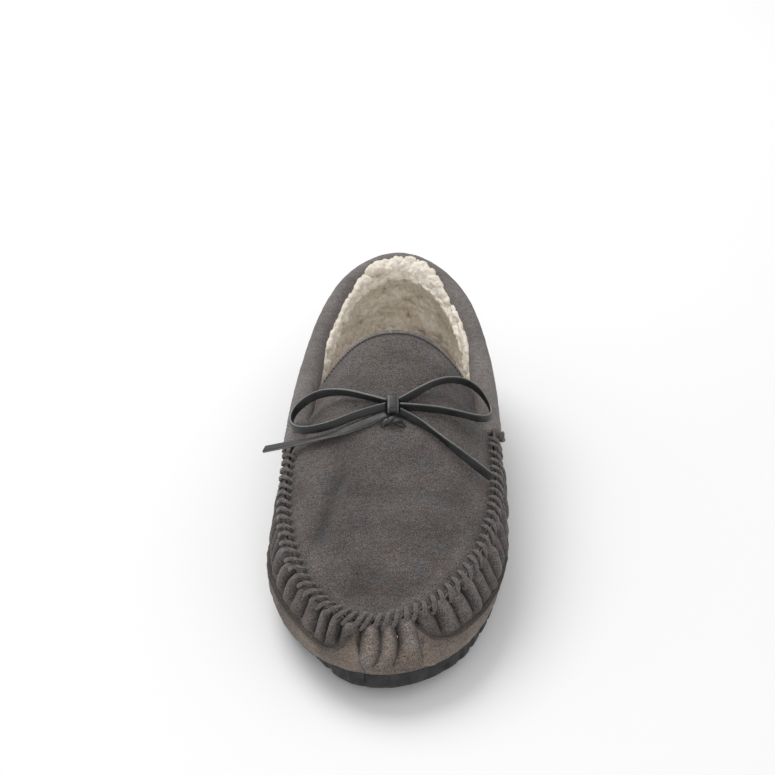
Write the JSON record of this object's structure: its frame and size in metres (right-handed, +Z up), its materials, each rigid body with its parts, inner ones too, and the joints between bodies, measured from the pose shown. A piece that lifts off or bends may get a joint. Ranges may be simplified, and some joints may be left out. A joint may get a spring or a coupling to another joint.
{
  "type": "moccasin house slipper",
  "caption": "Closed-back suede moccasin slipper for the left foot, pile lined, with a gathered toe, a leather bow and a rubber sole.",
  "frame": {"origin": "on the floor, under the middle of the slipper's box without its free lace ends and loops", "axes": "+Z up, +Y from the toe to the heel, -X to the big-toe side"},
  "size_m": [0.1209, 0.2846, 0.0868],
  "materials": {
    "suede": "matte napped suede",
    "collar_suede": "matte napped suede",
    "rand_suede": "matte napped suede",
    "lace_leather": "smooth matte leather thong",
    "seam_thread": "waxed thread",
    "fine_thread": "sewing thread",
    "pile": "cream curly pile fleece",
    "sole_rubber": "matte moulded rubber",
    "insole_board": "matte fibre board",
    "foam": "soft foam",
    "counter": "matte"
  },
  "bodies": {
    "slipper": {"outsole": "sole_rubber", "insole_board": "insole_board", "footbed_foam": "foam", "footbed_pile": "pile", "toe_wall": "suede", "toe_wall_lining": "pile", "quarter_medial": "suede", "quarter_lateral": "suede", "lining_medial": "pile", "lining_lateral": "pile", "heel_counter": "counter", "rand_medial": "rand_suede", "rand_lateral": "rand_suede", "collar_binding": "collar_suede", "collar_foam": "foam", "apron": "suede", "apron_lining": "pile", "bow_knot": "lace_leather", "lace_anchor": "lace_leather", "seam_thread": "seam_thread", "rand_thread_medial": "fine_thread", "rand_thread_lateral": "fine_thread", "heel_thread": "fine_thread"},
    "tongue_flap": {"tongue": "suede", "tongue_lining": "pile", "tongue_thread": "fine_thread"},
    "loop_left": {"bow_loop_left": "lace_leather"},
    "loop_right": {"bow_loop_right": "lace_leather"},
    "tail_left": {"lace_tail_left": "lace_leather"},
    "tail_right": {"lace_tail_right": "lace_leather"}
  },
  "joints": [
    {"name": "tongue_lift", "type": "hinge", "parent": "slipper", "child": "tongue_flap", "pos_m": [0, 0.0187, 0.0803], "axis": [1, 0, 0], "range_deg": [0, 25]},
    {"name": "loop_left_lift", "type": "hinge", "parent": "slipper", "child": "loop_left", "pos_m": [-0.0008, -0.009, 0.077], "axis": [0, 1, 0], "range_deg": [0, 50]},
    {"name": "loop_right_lift", "type": "hinge", "parent": "slipper", "child": "loop_right", "pos_m": [0.0052, -0.009, 0.077], "axis": [0, -1, 0], "range_deg": [0, 50]},
    {"name": "tail_left_lift", "type": "hinge", "parent": "slipper", "child": "tail_left", "pos_m": [-0.0008, -0.0137, 0.0725], "axis": [0, 1, 0], "range_deg": [0, 50]},
    {"name": "tail_right_lift", "type": "hinge", "parent": "slipper", "child": "tail_right", "pos_m": [0.0052, -0.0137, 0.0753], "axis": [0, -1, 0], "range_deg": [0, 50]}
  ]
}
